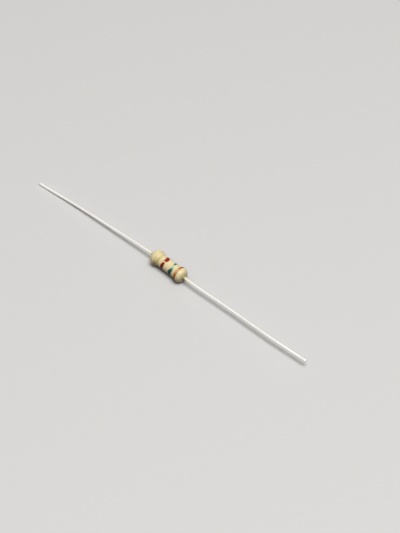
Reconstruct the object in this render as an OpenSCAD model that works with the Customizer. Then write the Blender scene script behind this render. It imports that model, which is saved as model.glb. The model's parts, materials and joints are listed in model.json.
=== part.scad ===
// Axial film resistor with a dog-bone lacquer coat, lying at rest on its two bulbs and one lead tip.
// Millimetres. +X runs along the body towards the first colour band, +Z up, z = 0 is the surface
// that the part lies on, and the origin is under the middle of the body.

/* [Lacquer coat] */
// Diameter over each bulb, the right one with the brown paint that lies on it
bulb_d = 2.41; // [2.35:0.01:2.6]
// Diameter of the waist between the bulbs
waist_d = 1.88; // [1.84:0.01:2.0]
// Distance between the crests of the two bulbs
bulb_pitch = 4.66; // [4.5:0.02:5.0]
// Radius of a bulb's rounding
bulb_round = 0.75; // [0.65:0.05:0.8]
// Radius of the hollow between waist and bulb
shoulder_round = 1.5; // [1.2:0.1:1.7]
// Radius of the hollow cone that the lacquer draws up the lead
cone_round = 0.4; // [0.3:0.1:0.8]
// Thickness of lacquer left where that cone ends on the lead
lip = 0.03; // [0.02:0.01:0.06]

/* [Ceramic rod and film] */
// Diameter of the ceramic rod
rod_d = 1.5; // [1.4:0.05:1.5]
// Length of the ceramic rod
rod_l = 5; // [4.8:0.1:5.2]
// Chamfer on the rod's ends
rod_chamfer = 0.1; // [0.09:0.01:0.12]
// Thickness of the carbon film, thicker than the real few micrometres
film_t = 0.025; // [0.02:0.005:0.03]
// Turns of the helical trim cut
trim_turns = 4.5; // [3:0.5:5]
// Distance along the rod from one turn to the next
trim_pitch = 0.5; // [0.4:0.05:0.5]
// Width of the trim cut
trim_w = 0.14; // [0.1:0.01:0.18]
// Depth of the trim cut below the film, into the ceramic
trim_depth = 0.05; // [0.02:0.01:0.08]

/* [End caps] */
// Length of an end cap
cap_l = 1.15; // [1:0.05:1.15]
// Wall of an end cap
cap_t = 0.12; // [0.11:0.01:0.13]
// Outer corner radius of an end cap
cap_round = 0.2; // [0.18:0.01:0.2]

/* [Leads] */
// Diameter of the lead wire
lead_d = 0.4; // [0.38:0.01:0.45]
// Distance from the middle of the body to the left lead's tip, along the body
left_reach = 26.6; // [24:0.1:30]
// Distance from the middle of the body to the right lead's tip, along the body
right_reach = 26.1; // [24:0.1:30]
// Radius of the slight bends in the leads
bend_r = 1.4; // [1:0.1:1.4]
// Width of the weld's flash round the lead, on the cap
weld_w = 0.14; // [0.08:0.01:0.18]

/* [Colour bands] */
// Thickness of the band paint on the coat
band_t = 0.025; // [0.02:0.005:0.04]
// First digit, brown: place along the body
brown_x = 2.25; // [2.2:0.05:2.4]
// First digit, brown: width
brown_w = 0.46; // [0.3:0.02:0.5]
// Second digit, green: place along the body
green_x = 1.1; // [0.9:0.05:1.3]
// Second digit, green: width
green_w = 0.46; // [0.3:0.02:0.5]
// Second digit, green: angle that the paint misses
green_gap = 36; // [10:2:60]
// Multiplier, red: place along the body
red_x = -0.42; // [-0.6:0.05:-0.2]
// Multiplier, red: width
red_w = 0.5; // [0.3:0.02:0.6]
// Multiplier, red: angle that the paint misses
red_gap = 14; // [10:2:40]
// Tolerance, gold: place along the body
gold_x = -1.72; // [-1.8:0.02:-1.5]
// Tolerance, gold: width
gold_w = 0.82; // [0.4:0.02:0.9]

/* [Hidden] */
$fn = 64;

bulb_r = bulb_d / 2;
waist_r = waist_d / 2;
bulb_x = bulb_pitch / 2;
rod_r = rod_d / 2;
film_r = rod_r + film_t;
cap_r = film_r + cap_t;
cap_end = rod_l / 2 + cap_t;
cap_mouth = cap_end - cap_l;
lead_r = lead_d / 2;
weld_r = lead_r + weld_w;

// The part lies level on the left bulb's lacquer and on the brown paint over the right bulb's crest,
// whose lacquer is as much smaller as the paint is thick
axis_z = bulb_r;
right_bulb_r = bulb_r - band_t;

// Slight bends of the leads, from the coat out to the tip: [place along the body where the bend
// begins, angle, direction round the wire], where 0 is up, 90 is towards +Y and 180 is down
left_bends = [[3.85, 3.86, 228.9], [19, 2.2, 270]];
right_bends = [[5.5, 3.75, 90], [9.9, 1.6, 270], [20.9, 2.35, 90]];

// Where the green and the red paint miss the coat, as an angle from +Y up towards +Z
green_gap_at = 102;
red_gap_at = 116;

arc_step = 6;
trim_step = 12;

// Centre of a hollow that runs smoothly from a bulb down to a straight of radius r. Every centre is
// given as [radius from the axis, place along it].
function beside_bulb(bulb_c, r, hollow, side) =
    let (rise = r + hollow - bulb_c[0], reach = bulb_round + hollow)
    [r + hollow, bulb_x + side * sqrt(reach * reach - rise * rise)];

// Direction from one point to another
function angle_to(from, to) = atan2(to[1] - from[1], to[0] - from[0]);

// Points of an arc after its first one, which ends the stretch before it
function arc(centre, r, from, to) =
    let (steps = ceil(abs(to - from) / arc_step))
    [for (i = [1 : steps]) let (a = from + (to - from) * i / steps) centre + r * [cos(a), sin(a)]];

function reversed(points) = [for (i = [len(points) - 1 : -1 : 0]) points[i]];

// One line from end to end, from two that are both given from the middle outwards towards +X
function end_to_end(left, right) = concat([for (p = reversed(left)) [p[0], -p[1]]], right);

function both_ends(line) = end_to_end(line, line);

// Outside of the coat from the waist over a bulb of radius r and down to the lead, grown outwards
// by the thickness of the paint where that is wanted
function half_coat(r, grow) =
    let (
        bulb_c = [r - bulb_round, bulb_x],
        shoulder_c = beside_bulb(bulb_c, waist_r, shoulder_round, -1),
        cone_c = beside_bulb(bulb_c, lead_r + lip, cone_round, 1),
        to_shoulder = angle_to(bulb_c, shoulder_c),
        to_cone = angle_to(bulb_c, cone_c)
    )
    concat(
        [[waist_r + grow, shoulder_c[1]]],
        arc(shoulder_c, shoulder_round - grow, 180, to_shoulder + 180),
        arc(bulb_c, bulb_round + grow, to_shoulder, to_cone),
        arc(cone_c, cone_round - grow, to_cone + 180, 180)
    );

function coat_line(grow = 0) = end_to_end(half_coat(bulb_r, grow), half_coat(right_bulb_r, grow));

// Outside of what the coat covers: film, cap, weld and the root of the lead, up to the coat's end
function half_inside(coat_end) = concat(
    [[film_r, cap_mouth]],
    cap_line(),
    [[weld_r, cap_end], [lead_r, cap_end + weld_w], [lead_r, coat_end]]
);

function inside_line() =
    let (outside = coat_line())
    end_to_end(half_inside(-outside[0][1]), half_inside(outside[len(outside) - 1][1]));

// Outside of a cap, from its mouth to its flat end
function cap_line() = concat(
    [[cap_r, cap_mouth], [cap_r, cap_end - cap_round]],
    arc([cap_r - cap_round, cap_end - cap_round], cap_round, 0, 90)
);

// Closes a line that runs from end to end of the body with the body's axis
function down_to_axis(line) = concat([[0, line[0][1]]], line, [[0, line[len(line) - 1][1]]]);

// Spins an outline of [radius, place] points round the body's axis
module revolved() {
    on_axis()
        rotate_extrude()
            children();
}

// Lays what is drawn along +Z on the body's axis, towards +X
module on_axis() {
    translate([0, 0, axis_z])
        rotate([0, 90, 0])
            children();
}

// The helical trim cut: one rectangular section swept round the rod
module trim_cut() {
    steps = 360 / trim_step * trim_turns;
    low = rod_r - trim_depth;
    high = film_r + trim_depth;
    section = [[low, -trim_w / 2], [high, -trim_w / 2], [high, trim_w / 2], [low, trim_w / 2]];
    points = [for (i = [0 : steps], p = section) let (a = trim_step * i)
        [p[0] * cos(a), p[0] * sin(a), p[1] + (a / 360 - trim_turns / 2) * trim_pitch]
    ];
    walls = [for (i = [0 : steps - 1], k = [0 : 3]) let (a = 4 * i + k, b = 4 * i + (k + 1) % 4)
        each [[a, b + 4, a + 4], [a, b, b + 4]]
    ];
    last = 4 * steps;
    ends = [[0, 2, 1], [0, 3, 2], [last, last + 1, last + 2], [last, last + 2, last + 3]];
    on_axis()
        polyhedron(points, concat(walls, ends));
}

module ceramic_rod() {
    color("ivory")
        difference() {
            revolved()
                polygon(down_to_axis(both_ends([
                    [rod_r, rod_l / 2 - rod_chamfer], [rod_r - rod_chamfer, rod_l / 2]
                ])));
            trim_cut();
        }
}

module carbon_film() {
    film_end = rod_l / 2 - rod_chamfer;
    color("dimgray")
        difference() {
            revolved()
                polygon(concat(both_ends([[film_r, film_end]]), reversed(both_ends([[rod_r, film_end]]))));
            trim_cut();
        }
}

// Drawn for the +X end
module end_cap() {
    inner_round = cap_round - cap_t;
    inner_c = [film_r - inner_round, rod_l / 2 - inner_round];
    color("silver")
        revolved()
            polygon(concat(
                [[film_r, cap_mouth]],
                cap_line(),
                [[0, cap_end], [0, rod_l / 2], [inner_c[0], rod_l / 2]],
                arc(inner_c, inner_round, 90, 0)
            ));
}

// A wire from its root towards +Z with its bends, +X being up
module wire(bends, reach, root, i = 0) {
    run = (i < len(bends) ? bends[i][0] : reach) - root;
    cylinder(r = lead_r, h = run);
    if (i < len(bends)) {
        angle = bends[i][1];
        turn = bends[i][2];
        translate([0, 0, run])
            rotate([0, 0, turn]) {
                translate([bend_r, 0, 0])
                    rotate([90, 0, 0])
                        rotate_extrude(angle = angle, start = 180 - angle)
                            translate([bend_r, 0])
                                circle(lead_r);
                translate([bend_r * (1 - cos(angle)), 0, bend_r * sin(angle)])
                    rotate([0, angle, 0])
                        rotate([0, 0, -turn])
                            wire(bends, reach, bends[i][0] + bend_r * sin(angle), i + 1);
            }
    }
}

// Drawn for the -X end, with its weld
module lead(bends, reach) {
    color("gainsboro")
        translate([-cap_end, 0, axis_z])
            rotate([0, -90, 0]) {
                cylinder(r1 = weld_r, r2 = lead_r, h = weld_w);
                wire(bends, reach, cap_end);
            }
}

module lacquer_coat() {
    color("wheat")
        revolved()
            polygon(concat(coat_line(), reversed(inside_line())));
}

// A ring of paint on the coat, open where the paint misses it
module band(place, width, gap_at = 0, gap = 0) {
    up = 180;
    on_axis()
        rotate_extrude(start = up - 90 + gap_at + gap / 2, angle = 360 - gap)
            intersection() {
                difference() {
                    polygon(down_to_axis(coat_line(band_t)));
                    polygon(down_to_axis(coat_line()));
                }
                translate([0, place - width / 2])
                    square([2 * bulb_r, width]);
            }
}

module left_end_cap() { mirror([1, 0, 0]) end_cap(); }
module right_end_cap() { end_cap(); }
module left_lead() { lead(left_bends, left_reach); }
module right_lead() { mirror([1, 0, 0]) lead(right_bends, right_reach); }
module brown_band() { color("saddlebrown") band(brown_x, brown_w); }
module green_band() { color("darkslategray") band(green_x, green_w, green_gap_at, green_gap); }
module red_band() { color("firebrick") band(red_x, red_w, red_gap_at, red_gap); }
module gold_band() { color("darkkhaki") band(gold_x, gold_w); }

ceramic_rod();
carbon_film();
left_end_cap();
right_end_cap();
left_lead();
right_lead();
lacquer_coat();
brown_band();
green_band();
red_band();
gold_band();
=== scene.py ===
import json
import math

import bpy
import numpy as np
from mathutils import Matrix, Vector, noise


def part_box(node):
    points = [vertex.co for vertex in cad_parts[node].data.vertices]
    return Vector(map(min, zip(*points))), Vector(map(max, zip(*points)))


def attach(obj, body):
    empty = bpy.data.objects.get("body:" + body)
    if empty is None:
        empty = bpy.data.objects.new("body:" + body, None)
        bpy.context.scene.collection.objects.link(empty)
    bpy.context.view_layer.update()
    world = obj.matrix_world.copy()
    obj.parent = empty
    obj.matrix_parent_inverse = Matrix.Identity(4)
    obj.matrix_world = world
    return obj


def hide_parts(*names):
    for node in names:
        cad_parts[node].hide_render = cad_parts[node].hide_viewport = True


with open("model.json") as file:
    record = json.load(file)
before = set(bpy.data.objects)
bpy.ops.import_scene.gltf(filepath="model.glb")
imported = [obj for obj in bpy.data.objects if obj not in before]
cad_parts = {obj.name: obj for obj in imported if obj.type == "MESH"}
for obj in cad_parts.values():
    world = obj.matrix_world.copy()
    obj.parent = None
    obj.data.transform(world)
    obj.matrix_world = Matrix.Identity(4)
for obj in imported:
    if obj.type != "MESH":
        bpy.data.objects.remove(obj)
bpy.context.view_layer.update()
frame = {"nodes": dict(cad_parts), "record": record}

MM = 0.001


# ---- Ceramic rod -------------------------------------------------------------------------------
# A stick of fired ceramic with chamfered ends that carries the film. It is matte and off-white, and
# hidden under the lacquer.

def bare_finish(name, colour, roughness):
    """A new material: its node tree, its shader, and a socket that gives places in millimetres."""
    material = bpy.data.materials.new(name)
    material.use_nodes = True
    tree = material.node_tree
    shader = tree.nodes["Principled BSDF"]
    shader.inputs["Base Color"].default_value = (*colour, 1)
    shader.inputs["Roughness"].default_value = roughness
    place = tree.nodes.new("ShaderNodeTexCoord")
    to_mm = tree.nodes.new("ShaderNodeVectorMath")
    to_mm.operation = "SCALE"
    to_mm.inputs["Scale"].default_value = 1 / MM
    tree.links.new(place.outputs["Object"], to_mm.inputs[0])
    return material, tree, shader, to_mm.outputs[0]


def speckle(tree, where, per_mm, detail=4, stretch=(1, 1, 1)):
    """A cloudy grain from 0 to 1, with so many grains a millimetre, drawn out along the stretch."""
    grain = tree.nodes.new("ShaderNodeTexNoise")
    grain.inputs["Scale"].default_value = per_mm
    grain.inputs["Detail"].default_value = detail
    along = tree.nodes.new("ShaderNodeVectorMath")
    along.operation = "MULTIPLY"
    along.inputs[1].default_value = [1 / s for s in stretch]
    tree.links.new(where, along.inputs[0])
    tree.links.new(along.outputs[0], grain.inputs["Vector"])
    return grain.outputs["Fac"]


def between(tree, amount, low, high, start=0.0, end=1.0):
    """A number that runs from low to high as the amount runs from start to end."""
    ramp = tree.nodes.new("ShaderNodeMapRange")
    for socket, value in zip(ramp.inputs[1:5], (start, end, low, high)):
        socket.default_value = value
    tree.links.new(amount, ramp.inputs["Value"])
    return ramp.outputs["Result"]


def tint(tree, amount, first, second):
    """A colour that runs from the first to the second with the amount. Either may be a socket."""
    mix = tree.nodes.new("ShaderNodeMix")
    mix.data_type = "RGBA"
    for socket, colour in ((mix.inputs["A"], first), (mix.inputs["B"], second)):
        if isinstance(colour, tuple):
            socket.default_value = (*colour, 1)
        else:
            tree.links.new(colour, socket)
    tree.links.new(amount, mix.inputs["Factor"])
    return mix.outputs["Result"]


def raised(tree, shader, height, depth_mm):
    """Lifts the surface by the height, from 0 to 1, times the depth."""
    bump = tree.nodes.new("ShaderNodeBump")
    bump.inputs["Distance"].default_value = depth_mm * MM
    tree.links.new(height, bump.inputs["Height"])
    tree.links.new(bump.outputs["Normal"], shader.inputs["Normal"])


def clad(name, material):
    """Gives a CAD node its material."""
    node = frame["nodes"][name]
    node.data.materials.clear()
    node.data.materials.append(material)


ceramic, tree, shader, mm = bare_finish("fired_ceramic", (0.80, 0.77, 0.70), 0.75)
grain = speckle(tree, mm, 14)
tree.links.new(tint(tree, grain, (0.84, 0.81, 0.75), (0.72, 0.68, 0.60)), shader.inputs["Base Color"])
raised(tree, shader, grain, 0.004)
clad("ceramic_rod", ceramic)


# ---- Carbon film -------------------------------------------------------------------------------
# A dark grey satin skin of carbon fired onto the rod, a little cloudy, with a helical cut that sets
# its resistance.

carbon, tree, shader, mm = bare_finish("carbon_skin", (0.05, 0.05, 0.055), 0.45)
cloud = speckle(tree, mm, 3)
tree.links.new(tint(tree, cloud, (0.035, 0.035, 0.04), (0.10, 0.10, 0.11)), shader.inputs["Base Color"])
tree.links.new(between(tree, cloud, 0.35, 0.6), shader.inputs["Roughness"])
raised(tree, shader, speckle(tree, mm, 18), 0.002)
clad("carbon_film", carbon)


# ---- End caps ----------------------------------------------------------------------------------
# Two cups drawn from thin tin-plated steel and forced over the ends of the film. Drawing leaves
# fine lines along the wall.

cup_steel, tree, shader, mm = bare_finish("tinned_steel_cup", (0.62, 0.60, 0.56), 0.4)
shader.inputs["Metallic"].default_value = 1
lines = speckle(tree, mm, 12, stretch=(8, 1, 1))
tree.links.new(between(tree, lines, 0.28, 0.5), shader.inputs["Roughness"])
tree.links.new(tint(tree, lines, (0.66, 0.64, 0.60), (0.52, 0.50, 0.46)), shader.inputs["Base Color"])
raised(tree, shader, lines, 0.003)
clad("left_end_cap", cup_steel)
clad("right_end_cap", cup_steel)


# ---- Leads -------------------------------------------------------------------------------------
# Two lengths of tin-plated wire, one welded to each cap. Handling has bent them slightly, shears
# have left a faint ridge across each tip, and the plating is bright with fine drawing lines.

wire_r = frame["record"]["mounts"][0]["dims"]["r_mm"]
ring_gap = 0.035
ring_step = 0.12
wire_sides = 40
bend_spread = 2.4
easing_steps = 25
crop_length = 0.22
crop_pinch = 0.16
filmed_from = 3.4
film_reach = 1.8


def wire_route(name):
    """The wire's middle line, read off the rings of its CAD solid and eased at the bends."""
    corners = np.array([v.co for v in frame["nodes"][name].data.vertices]) / MM
    corners = corners[np.argsort(abs(corners[:, 0]))]
    apart = np.where(np.diff(abs(corners[:, 0])) > ring_gap)[0] + 1
    rings = np.array([ring.mean(axis=0) for ring in np.split(corners, apart)])
    ends = rings[[0, -1]]
    count = int(np.ptp(rings[:, 0]) / ring_step)
    along = np.linspace(ends[0, 0], ends[1, 0], count)
    eased = np.zeros((count, 3))
    for shift in np.linspace(-bend_spread, bend_spread, easing_steps):
        for axis in range(3):
            at = along + shift
            line = np.interp(abs(at), abs(rings[:, 0]), rings[:, axis])
            eased[:, axis] += line / easing_steps
    eased[:, 0] = along
    hold = np.clip(np.minimum(abs(along - ends[0, 0]), abs(along - ends[1, 0])) / bend_spread, 0, 1)
    exact = np.array([np.interp(abs(along), abs(rings[:, 0]), rings[:, k]) for k in range(3)]).T
    return exact + (eased - exact) * hold[:, None]


def skin(name, rings, closed=False):
    """A mesh over rings of points in millimetres. Its ends are capped, or it closes on itself."""
    count, sides, _ = rings.shape
    faces = []
    for i in range(count if closed else count - 1):
        a = i * sides
        b = (i + 1) % count * sides
        faces += [(a + k, b + k, b + (k + 1) % sides, a + (k + 1) % sides) for k in range(sides)]
    if not closed:
        faces += [tuple(range(sides)), tuple(reversed(range((count - 1) * sides, count * sides)))]
    mesh = bpy.data.meshes.new(name)
    mesh.from_pydata((rings.reshape(-1, 3) * MM).tolist(), [], faces)
    mesh.update()
    piece = bpy.data.objects.new(name, mesh)
    bpy.context.scene.collection.objects.link(piece)
    mesh.shade_smooth()
    return piece


def facing_out(piece):
    """Turns the faces outwards if they came out inside out."""
    mesh = piece.data
    volume = sum(f.normal.dot(f.center) * f.area for f in mesh.polygons)
    if volume < 0:
        mesh.flip_normals()
    return piece


def drawn_wire(name):
    """The wire round its middle line, pinched at the tip and filmed with lacquer near the coat."""
    route = wire_route(name)
    turn = np.linspace(0, 2 * math.pi, wire_sides, endpoint=False)
    rings = np.zeros((len(route), wire_sides, 3))
    from_tip = abs(route[:, 0] - route[-1, 0])
    pinch = 1 - crop_pinch * np.clip(1 - from_tip / crop_length, 0, 1) ** 2
    for i, centre in enumerate(route):
        rings[i, :, 0] = centre[0]
        rings[i, :, 1] = centre[1] + wire_r * np.cos(turn) * pinch[i]
        rings[i, :, 2] = centre[2] + wire_r * np.sin(turn)
    wire = facing_out(skin(name + "_wire", rings))
    from_coat = [abs(v.co.x) / MM - filmed_from for v in wire.data.vertices]
    filmed = [math.exp(-(max(0, along) / film_reach) ** 2) for along in from_coat]
    wire.data.attributes.new("filmed", "FLOAT", "POINT").data.foreach_set("value", filmed)
    wire.data.materials.append(tinned)
    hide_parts(name)
    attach(wire, "root")


tinned, tree, shader, mm = bare_finish("tinned_wire", (0.90, 0.89, 0.86), 0.35)
shader.inputs["Metallic"].default_value = 1
lines = speckle(tree, mm, 9, stretch=(14, 1, 1))
patches = speckle(tree, mm, 0.9, stretch=(3, 1, 1))
tree.links.new(between(tree, lines, 0.28, 0.44, 0.3, 0.7), shader.inputs["Roughness"])
filmed = tree.nodes.new("ShaderNodeAttribute")
filmed.attribute_name = "filmed"
plated = tint(tree, patches, (0.93, 0.92, 0.89), (0.84, 0.82, 0.78))
filmed_over = tint(tree, between(tree, filmed.outputs["Fac"], 0, 0.7), plated, (0.90, 0.85, 0.68))
tree.links.new(filmed_over, shader.inputs["Base Color"])
raised(tree, shader, lines, 0.003)
for side in ("left", "right"):
    drawn_wire(side + "_lead")


# ---- Lacquer coat ------------------------------------------------------------------------------
# The rod, caps and welds are rolled in beige lacquer, which surface tension draws into a bulb over
# each cap, a long waist between them and a small hollow cone up each lead. It sets glossy and a
# little uneven, and on the right bulb it has sagged towards the underside. The crease where each
# bulb meets its cone is darkened with painted shade.

low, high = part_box("lacquer_coat")
axis_z = (low.z + high.z) / 2 / MM
left_bulb_r = (high.z - low.z) / 2 / MM
room_for_paint = 0.025
right_bulb_r = left_bulb_r - room_for_paint
bulb_x = 2.33
waist_r = 0.94
bulb_round = 0.75
shoulder_round = 1.5
cone_round = 0.4
lip = 0.03
creep = 0.12
feather = 0.004
crease_x = 3.24
crease_spread = 0.15
drawn_reach = 0.3
sagged = 0.04
lump_height = 0.012
ripple_height = 0.004
coat_sides = 192
arc_steps = 40
waist_steps = 12
creep_steps = 5


def hollow_beside(bulb_c, radius, hollow, side):
    """Centre of a hollow that runs smoothly from a bulb down to a straight of that radius."""
    rise = radius + hollow - bulb_c[1]
    reach = bulb_round + hollow
    return np.array([bulb_x + side * math.sqrt(reach ** 2 - rise ** 2), radius + hollow])


def arc(centre, radius, start, end):
    """Points of an arc as (place along the body, radius from the axis), after its first one."""
    angles = np.radians(np.linspace(start, end, arc_steps + 1)[1:])
    return centre + radius * np.stack([np.cos(angles), np.sin(angles)], axis=1)


def angle_to(start, end):
    """Direction from one point to another, in degrees."""
    return math.degrees(math.atan2(end[1] - start[1], end[0] - start[0]))


def half_outline(bulb_r):
    """The coat's outline from its middle over a bulb and its cone to the bare wire."""
    bulb_c = np.array([bulb_x, bulb_r - bulb_round])
    shoulder_c = hollow_beside(bulb_c, waist_r, shoulder_round, -1)
    cone_c = hollow_beside(bulb_c, wire_r + lip, cone_round, 1)
    to_shoulder = angle_to(bulb_c, shoulder_c)
    to_cone = angle_to(bulb_c, cone_c)
    return np.concatenate([
        [[x, waist_r] for x in np.linspace(0.05, shoulder_c[0], waist_steps)],
        arc(shoulder_c, shoulder_round, -90, to_shoulder - 180),
        arc(bulb_c, bulb_round, to_shoulder, to_cone),
        arc(cone_c, cone_round, to_cone - 180, -90),
        [
            [cone_c[0] + creep * t, wire_r + lip * (1 - t) ** 2 + feather]
            for t in np.linspace(0.2, 1, creep_steps)
        ],
    ])


coat_outline = np.concatenate([
    half_outline(left_bulb_r)[::-1] * (-1, 1), half_outline(right_bulb_r)
])


def lump(x, radius, angle):
    """How far the set lacquer stands proud or shy of its mean surface."""
    where = Vector((x * 0.7, math.cos(angle) * 0.8, math.sin(angle) * 0.8))
    lumps = lump_height * noise.noise(where + Vector((3.1, 0, 0)))
    uneven = lumps + ripple_height * noise.noise(where * 3.5)
    lean = max(0, radius - waist_r) / (right_bulb_r - waist_r) if x > 0 else 0
    fade = min(1, max(0, (radius - 0.3) / 0.4))
    return fade * uneven - sagged * lean * (0.5 + 0.5 * math.sin(angle))


def ring(x, radius, sides):
    """Points round the body's axis at one place, following the lacquer's lumps."""
    points = np.zeros((sides, 3))
    for k, angle in enumerate(np.linspace(0, 2 * math.pi, sides, endpoint=False)):
        r = radius + lump(x, radius, angle)
        points[k] = x, r * math.cos(angle), axis_z + r * math.sin(angle)
    return points


rings = [ring(x, radius, coat_sides) for x, radius in coat_outline]
inner = [(coat_outline[-1][0], wire_r - 0.01), (coat_outline[0][0], wire_r - 0.01)]
rings += [ring(x, radius, coat_sides) for x, radius in inner]
coat = facing_out(skin("lacquer_body", np.array(rings), closed=True))
places = np.array([v.co.x for v in coat.data.vertices]) / MM
# Painted shade: the lacquer darkens in a band round each crease between bulb and cone, where shade
# falls.
crease_shade = np.exp(-((abs(places) - crease_x) / crease_spread) ** 2)
drawn_out = np.clip((abs(places) - crease_x - crease_spread) / drawn_reach, 0, 1)
for label, amount in (("crease_shade", crease_shade), ("drawn_out", drawn_out)):
    coat.data.attributes.new(label, "FLOAT", "POINT").data.foreach_set("value", amount)

light_lacquer = (0.80, 0.68, 0.40)
deep_lacquer = (0.72, 0.60, 0.33)
# The dark olive of the painted crease shade.
painted_crease_shade = (0.25, 0.22, 0.075)
thin_lacquer = (0.80, 0.72, 0.50)


def lacquer_colour(tree, mm):
    """The lacquer's cloudy beige, which also shows through where paint is thin."""
    cloud = speckle(tree, mm, 0.8, 3)
    return tint(tree, between(tree, cloud, 0, 1, 0.35, 0.65), light_lacquer, deep_lacquer)


lacquer, tree, shader, mm = bare_finish("beige_lacquer", light_lacquer, 0.3)
shader.inputs["Specular IOR Level"].default_value = 0.4
peel = speckle(tree, mm, 5, 3)
body = lacquer_colour(tree, mm)
# Mixes in the painted crease shade, then the paler thin lacquer up the cones.
for label, colour, most in (("crease_shade", painted_crease_shade, 0.95), ("drawn_out", thin_lacquer, 0.6)):
    amount = tree.nodes.new("ShaderNodeAttribute")
    amount.attribute_name = label
    body = tint(tree, between(tree, amount.outputs["Fac"], 0, most), body, colour)
tree.links.new(body, shader.inputs["Base Color"])
tree.links.new(between(tree, peel, 0.24, 0.38), shader.inputs["Roughness"])
raised(tree, shader, peel, 0.004)
coat.data.materials.append(lacquer)
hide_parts("lacquer_coat")
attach(coat, "root")


# ---- Colour bands ------------------------------------------------------------------------------
# Four rings of glossy paint rolled on by a thin wheel: brown, green and red for the value, gold for
# the tolerance. Their edges wander. On the upper side the red ring is open and the brown and green
# ones thin out. On their undersides, and on the far side of the brown and green, the rings are
# darkened with painted shade.

paint_t = 0.02
sunk = 0.012
end_taper = 0.09
band_sides = 240
band_rows = 17


def coat_r(x):
    """The coat's mean radius at one place along the body."""
    return float(np.interp(x, coat_outline[:, 0], coat_outline[:, 1]))


def on_coat(x, angle, height):
    """A point so far above the lumpy lacquer."""
    r = coat_r(x) + lump(x, coat_r(x), angle) + height
    return x, r * math.cos(angle), axis_z + r * math.sin(angle)


def near(angle, at, spread):
    """1 at one angle round the body in degrees, fading to 0 on both sides of it."""
    apart = abs((angle - at + 180) % 360 - 180)
    return math.exp(-(apart / spread) ** 2)


def rolled_band(name, paint, cover_and_shade_at, drift, breadth, wander, seed, open_at=0, gap=0):
    """A ring of paint on the coat. The functions say at each angle how much the paint covers, with
    values above 1 for painted shade, how far the ring strays along the body, and how broad it is
    beside its CAD solid."""
    low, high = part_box(name)
    start = math.radians(open_at + gap / 2)
    end = math.radians(open_at + 360 - gap / 2)
    steps = [-1 + 2 * k / (band_rows - 1) for k in range(band_rows)]
    rings = []
    cover = []
    for angle in np.linspace(start, end, band_sides, endpoint=gap > 0):
        degrees = math.degrees(angle)
        middle = (low.x + high.x) / 2 / MM + drift(degrees)
        half = (high.x - low.x) / 2 / MM * breadth(degrees)
        edge = Vector((math.cos(angle) * 1.6, math.sin(angle) * 1.6, seed))
        left = middle - half + wander * noise.noise(edge)
        right = middle + half + wander * noise.noise(edge + Vector((0, 0, 9)))
        full = min(1, min(angle - start, end - angle) / end_taper) ** 0.5 if gap else 1
        squeeze = 0.55 + 0.45 * full
        places = [(left + right) / 2 + across * squeeze * (right - left) / 2 for across in steps]
        row = []
        for across, x in zip(steps, places):
            here = cover_and_shade_at(degrees, across)
            height = paint_t * (1 - across ** 6) * (0.25 + 0.75 * full) * (0.3 + 0.7 * min(1, here))
            row.append(on_coat(x, angle, height))
            cover.append(here * min(1, 6 * (1 - abs(across))))
        for x in reversed(places):
            row.append(on_coat(x, angle, -sunk))
            cover.append(0)
        rings.append(row)
    band = facing_out(skin(name + "_paint", np.array(rings), closed=gap == 0))
    band.data.attributes.new("cover", "FLOAT", "POINT").data.foreach_set("value", cover)
    band.data.materials.append(paint)
    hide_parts(name)
    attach(band, "root")
    return band


def band_paint(name, colour, second_colour, film=None, painted_shade_tone=None, streaks=1):
    """Glossy paint in two close tones. Where it covers little, the lacquer and then the film's
    colour show, and a cover above 1 darkens it towards a painted shade tone."""
    paint, tree, shader, mm = bare_finish(name, colour, 0.32)
    shader.inputs["Specular IOR Level"].default_value = 0.12
    cloud = speckle(tree, mm, 1.6, 3, stretch=(1 / streaks, 1, 1))
    peel = speckle(tree, mm, 6, 3)
    tones = tint(tree, between(tree, cloud, 0, 1, 0.35, 0.65), colour, second_colour)
    cover = tree.nodes.new("ShaderNodeAttribute")
    cover.attribute_name = "cover"
    below = lacquer_colour(tree, mm)
    above = cover.outputs["Fac"]
    # A cover above 1 mixes in a darker painted shade tone, for the shade on the ring's underside and
    # far side.
    if painted_shade_tone:
        tones = tint(tree, between(tree, above, 0, 1, 1, 1.6), tones, painted_shade_tone)
    if film:
        below = tint(tree, between(tree, above, 0, 1, 0, 0.4), below, film)
        above = between(tree, above, 0, 1, 0.4, 1)
    tree.links.new(tint(tree, above, below, tones), shader.inputs["Base Color"])
    tree.links.new(between(tree, peel, 0.26, 0.42), shader.inputs["Roughness"])
    raised(tree, shader, peel, 0.004)
    return paint


# Painted shade: above 1 near 178 degrees for the shade underneath, and near 50 degrees for the shade on
# the far side.
def brown_cover_and_shade(angle, across):
    return 1 - 0.55 * near(angle, 112, 24) + 0.5 * near(angle, 178, 26) + 0.4 * near(angle, 50, 24)


# Painted shade: above 1 near 175 degrees for the shade underneath, and near 55 degrees for the shade on
# the far side.
def green_cover_and_shade(angle, across):
    return 1 - 0.62 * near(angle, 103, 23) + 0.5 * near(angle, 175, 28) + 0.4 * near(angle, 55, 18)


# Painted shade: above 1 near 175 degrees for the shade underneath.
def red_cover_and_shade(angle, across):
    return 1 - 0.5 * near(angle, 116, 8) + 0.6 * near(angle, 175, 28)


def gold_cover(angle, across):
    """A dense streak beside the waist, another over the bulb underneath, and a smear between."""
    by_waist = (0.5 + 0.5 * near(angle, 145, 35)) * math.exp(-((across - 0.62) / 0.3) ** 2)
    on_bulb = near(angle, 185, 45) * math.exp(-((across + 0.35) / 0.3) ** 2)
    return max(by_waist, on_bulb, 0.08 + 0.5 * near(angle, 180, 45))


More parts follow.
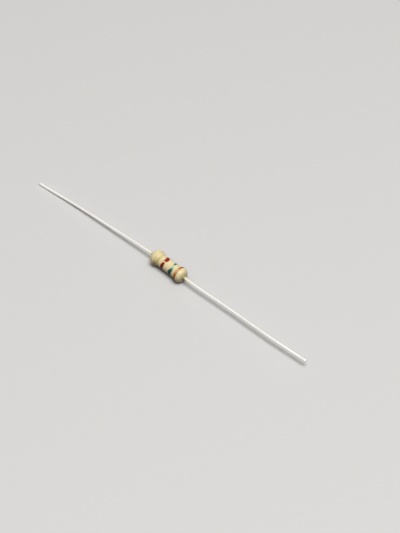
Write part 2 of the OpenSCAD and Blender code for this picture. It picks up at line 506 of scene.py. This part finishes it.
# The third tone of each ring is its painted shade, a darker colour that stands in for shade.
brown_paint = band_paint(
    "orange_brown_paint", (0.42, 0.12, 0.008), (0.50, 0.16, 0.014), painted_shade_tone=(0.24, 0.085, 0.012),
)
brown_ring = rolled_band(
    "brown_band", brown_paint, brown_cover_and_shade, wander=0.02, seed=1,
    drift=lambda angle: 0.13 * near(angle, 124, 60) - 0.13,
    breadth=lambda angle: 1.1,
)
green_paint = band_paint(
    "teal_green_paint", (0.02, 0.10, 0.08), (0.035, 0.14, 0.11),
    film=(0.52, 0.60, 0.40), painted_shade_tone=(0.01, 0.045, 0.038),
)
green_ring = rolled_band(
    "green_band", green_paint, green_cover_and_shade, wander=0.03, seed=4,
    drift=lambda angle: 0.19 * near(angle, 122, 28) - 0.12 * near(angle, 45, 28) - 0.06,
    breadth=lambda angle: 0.7 + 0.75 * near(angle, 165, 55),
)
red_paint = band_paint(
    "dark_red_paint", (0.31, 0.018, 0.006), (0.26, 0.013, 0.004), painted_shade_tone=(0.13, 0.006, 0.002),
)
red_ring = rolled_band(
    "red_band", red_paint, red_cover_and_shade, wander=0.02, seed=7, open_at=116, gap=6,
    drift=lambda angle: 0.16 * near(angle, 120, 42) + 0.16 * near(angle, 87, 20) - 0.18,
    breadth=lambda angle: 1.15 + 0.25 * near(angle, 80, 28) - 0.2 * near(angle, 128, 14),
)
gold_paint = band_paint("dull_gold_paint", (0.36, 0.24, 0.055), (0.48, 0.35, 0.11), streaks=3)
gold_ring = rolled_band(
    "gold_band", gold_paint, gold_cover, wander=0.04, seed=12,
    drift=lambda angle: 0.01, breadth=lambda angle: 1.05,
)


# ---- Floor and light ---------------------------------------------------------------------------
# A plain pale sheet to lie on, a large soft lamp overhead, and a white room. The sheet and the
# walls give less light back to the object than they show to the eye and to the metal.

def looked_at(tree):
    """1 for what the eye sees straight or in a gloss, 0 for light on its way to the object."""
    ray = tree.nodes.new("ShaderNodeLightPath")
    seen = ray.outputs["Is Camera Ray"]
    for kind in ("Is Glossy Ray", "Is Transmission Ray"):
        either = tree.nodes.new("ShaderNodeMath")
        either.operation = "MAXIMUM"
        tree.links.new(seen, either.inputs[0])
        tree.links.new(ray.outputs[kind], either.inputs[1])
        seen = either.outputs[0]
    return seen


sheet_seen = (0.6, 0.595, 0.585)
sheet_given = (0.06, 0.06, 0.058)
lamp_away = 0.6

bpy.ops.mesh.primitive_circle_add(vertices=96, radius=4, fill_type="NGON")
floor = bpy.context.object
floor.name = "floor"
sheet, tree, shader, mm = bare_finish("pale_sheet", sheet_seen, 0.85)
shade = tint(tree, looked_at(tree), sheet_given, sheet_seen)
tree.links.new(shade, shader.inputs["Base Color"])
floor.data.materials.append(sheet)

lamp_way = Vector((0.25, -0.09, 0.93)).normalized()
lamp_data = bpy.data.lights.new("overhead", "AREA")
lamp_data.shape = "DISK"
lamp_data.size = 0.4
lamp_data.energy = 3.55
lamp = bpy.data.objects.new("overhead", lamp_data)
lamp.location = lamp_way * lamp_away
lamp.rotation_euler = lamp_way.to_track_quat("Z", "Y").to_euler()
bpy.context.scene.collection.objects.link(lamp)

room = bpy.data.worlds.new("room")
room.use_nodes = True
tree = room.node_tree
walls = tree.nodes["Background"]
way = tree.nodes.new("ShaderNodeTexCoord")
height = tree.nodes.new("ShaderNodeSeparateXYZ")
tree.links.new(way.outputs["Generated"], height.inputs[0])
given = between(tree, height.outputs["Z"], 0.03, 0.38, 0.4, 0.8)
shown = between(tree, height.outputs["Z"], 0.6, 1.0, 0.0, 0.5)
strength = tint(tree, looked_at(tree), given, shown)
tree.links.new(strength, walls.inputs["Strength"])
walls.inputs["Color"].default_value = (1.0, 0.99, 0.97, 1)
bpy.context.scene.world = room
bpy.context.scene.view_settings.view_transform = "Standard"


# ---- Camera ------------------------------------------------------------------------------------
# Stands off the first-band end and above, far enough for a flat perspective.

azimuth = math.radians(46)
elevation = math.radians(46)
distance = 0.295
back = Vector((
    math.sin(azimuth) * math.cos(elevation),
    -math.cos(azimuth) * math.cos(elevation),
    math.sin(elevation),
))
aim = Vector((3.08, 3.206, 1.126)) * MM
camera_data = bpy.data.cameras.new("camera")
camera_data.lens = 139.7
camera_data.sensor_width = 36
camera_data.clip_start = 0.01
camera = bpy.data.objects.new("camera", camera_data)
camera.location = aim + back * distance
camera.rotation_euler = (-back).to_track_quat("-Z", "Y").to_euler()
bpy.context.scene.collection.objects.link(camera)
bpy.context.scene.camera = camera
